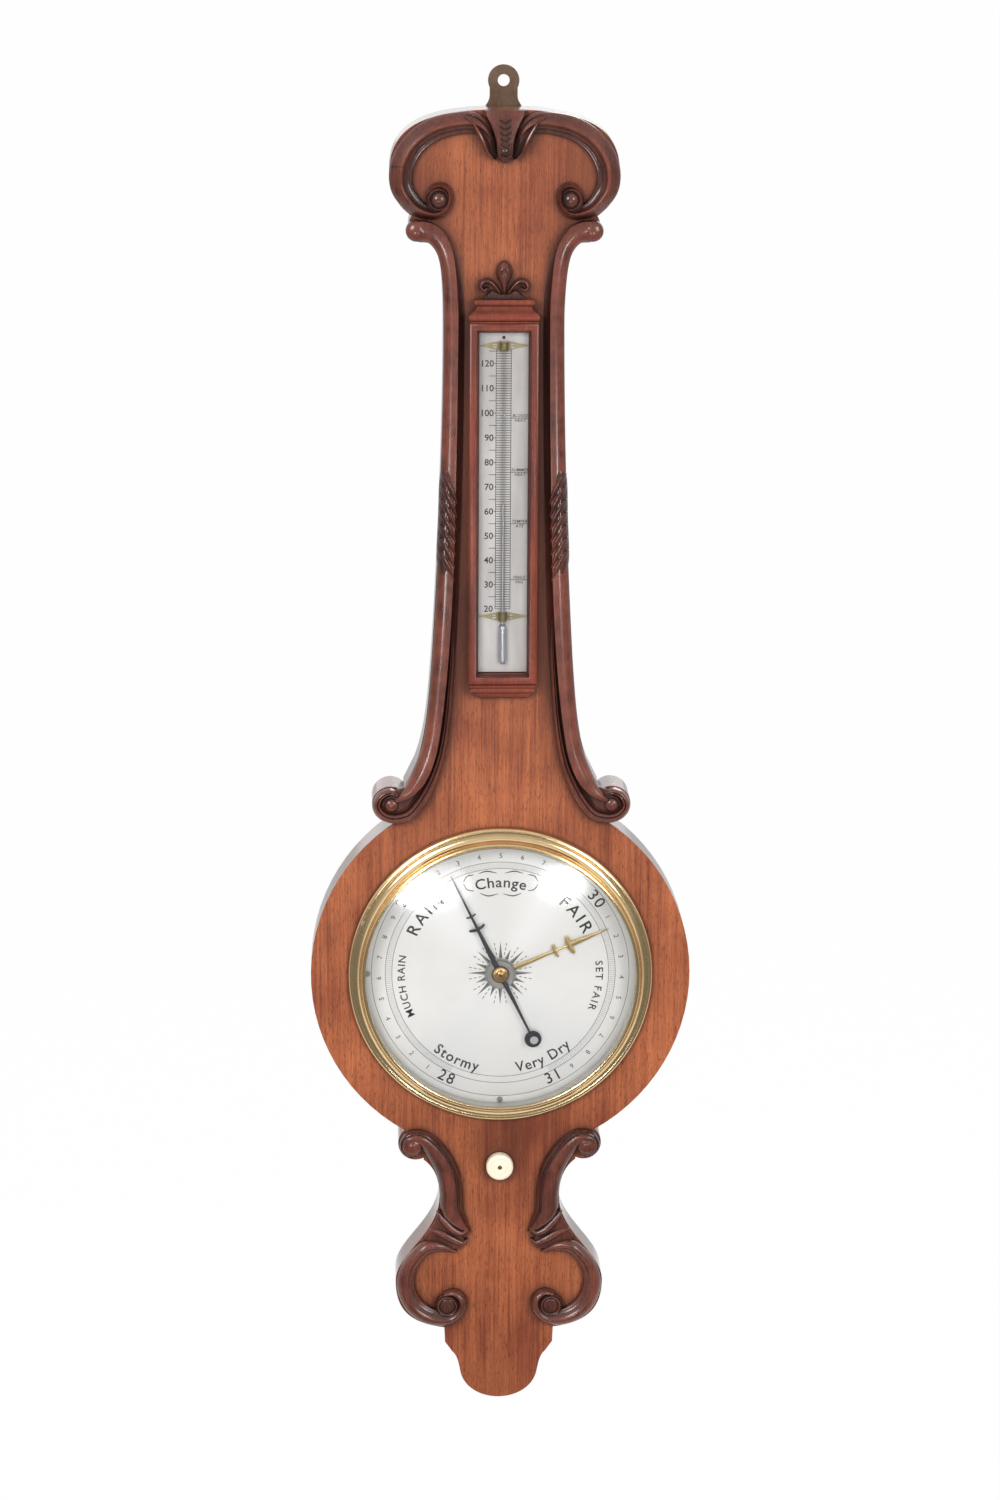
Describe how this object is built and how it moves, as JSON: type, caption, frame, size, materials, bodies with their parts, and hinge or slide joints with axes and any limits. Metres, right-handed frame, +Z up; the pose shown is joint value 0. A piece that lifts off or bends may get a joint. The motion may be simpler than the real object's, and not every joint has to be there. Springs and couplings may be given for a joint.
{
  "type": "banjo barometer",
  "caption": "Wheel barometer in a banjo-shaped case with carved scrolls, a boxed thermometer, a glazed dial with two hands, a setting knob and a siphon tube behind.",
  "frame": {"origin": "centre of the hanger hole, on the wall plane at the back of the case", "axes": "+Z up along the case, -Y out of the wall towards the viewer, +X to the viewer's right"},
  "size_m": [0.2768, 0.0496, 0.986],
  "materials": {
    "case_wood": "polished mahogany",
    "front_veneer": "polished rosewood veneer",
    "carving": "carved and polished",
    "box_wood": "polished veneer",
    "box_glass": "clear",
    "scale_silver": "silvered brass",
    "thermo_glass": "clear",
    "mercury": "liquid metal",
    "clip_brass": "lacquered",
    "hanger_bronze": "aged",
    "bezel_brass": "polished",
    "dial_glass": "clear domed",
    "sight_silver": "silvered",
    "dial_silver": "silvered and spun",
    "movement_brass": "satin",
    "tube_glass": "clear",
    "inner_wood": "plain",
    "cord": "waxed",
    "blued_steel": "blued",
    "hand_brass": "polished",
    "bone": "turned bone"
  },
  "bodies": {
    "case": {"case_body": "case_wood", "front_veneer": "front_veneer", "crest_scroll_left": "carving", "crest_scroll_right": "carving", "crest_cartouche": "carving", "neck_moulding_left": "carving", "neck_moulding_right": "carving", "lower_scroll_left": "carving", "lower_scroll_right": "carving", "thermometer_crest": "carving", "thermometer_frame": "box_wood", "thermometer_cornice": "box_wood", "thermometer_sill": "box_wood", "thermometer_glass": "box_glass", "thermometer_scale": "scale_silver", "thermometer_tube": "thermo_glass", "thermometer_mercury": "mercury", "mercury_column": "mercury", "thermometer_clips": "clip_brass", "clip_screws": "clip_brass", "hanger_plate": "hanger_bronze", "bezel": "bezel_brass", "bezel_pins": "bezel_brass", "dial_glass": "dial_glass", "sight_ring": "sight_silver", "dial_plate": "dial_silver", "dial_screws": "movement_brass", "movement_bridge": "movement_brass", "bridge_screws": "movement_brass", "tube_saddles": "movement_brass", "knob_bush": "movement_brass", "hinge_case_leaves": "movement_brass", "hinge_pins": "movement_brass", "wood_screws": "movement_brass", "button_screw": "movement_brass", "siphon_tube": "tube_glass", "neck_cover": "inner_wood", "base_cover": "inner_wood", "set_cord": "cord"},
    "hand": {"hand_arbor": "blued_steel", "thread_pulley": "movement_brass", "indicator_hand": "blued_steel"},
    "float": {"float_weight": "tube_glass", "float_thread": "cord", "lower_mercury": "mercury"},
    "counterweight": {"counterweight": "movement_brass", "counterweight_thread": "cord", "upper_mercury": "mercury"},
    "set_hand": {"set_hand": "hand_brass", "set_hand_pipe": "movement_brass", "set_hand_pulley": "movement_brass"},
    "knob": {"setting_knob": "bone", "knob_spindle": "movement_brass", "knob_pulley": "movement_brass"},
    "back_door": {"back_door": "inner_wood", "hinge_door_leaves": "movement_brass", "door_screws": "movement_brass"},
    "turn_button": {"turn_button": "movement_brass"}
  },
  "joints": [
    {"name": "hand_turn", "type": "hinge", "parent": "case", "child": "hand", "pos_m": [0, -0.02, -0.645], "axis": [0, 1, 0], "range_deg": [-127.75, 179.75]},
    {"name": "float_slide", "type": "slide", "parent": "case", "child": "float", "axis": [0, 0, 1], "range_m": [-0.0225, 0.016], "deforming": ["float_thread", "lower_mercury"]},
    {"name": "counterweight_slide", "type": "slide", "parent": "case", "child": "counterweight", "axis": [0, 0, 1], "range_m": [-0.016, 0.0225], "deforming": ["counterweight_thread", "upper_mercury"]},
    {"name": "knob_turn", "type": "hinge", "parent": "case", "child": "knob", "pos_m": [0, -0.036, -0.7913], "axis": [0, 1, 0], "continuous": true},
    {"name": "set_hand_turn", "type": "hinge", "parent": "case", "child": "set_hand", "pos_m": [0, -0.03, -0.645], "axis": [0, 1, 0], "continuous": true},
    {"name": "back_door_hinge", "type": "hinge", "parent": "case", "child": "back_door", "pos_m": [0.0887, -0.0024, -0.645], "axis": [0, 0, -1], "range_deg": [0, 110]},
    {"name": "button_turn", "type": "hinge", "parent": "case", "child": "turn_button", "pos_m": [-0.097, -0.0012, -0.645], "axis": [0, 1, 0], "range_deg": [0, 90]}
  ],
  "couplings": [
    {"joint": "float_slide", "follows": "hand_turn", "m_per_rad": -0.0071},
    {"joint": "counterweight_slide", "follows": "hand_turn", "m_per_rad": 0.0071},
    {"joint": "set_hand_turn", "follows": "knob_turn", "ratio": 0.66667}
  ]
}
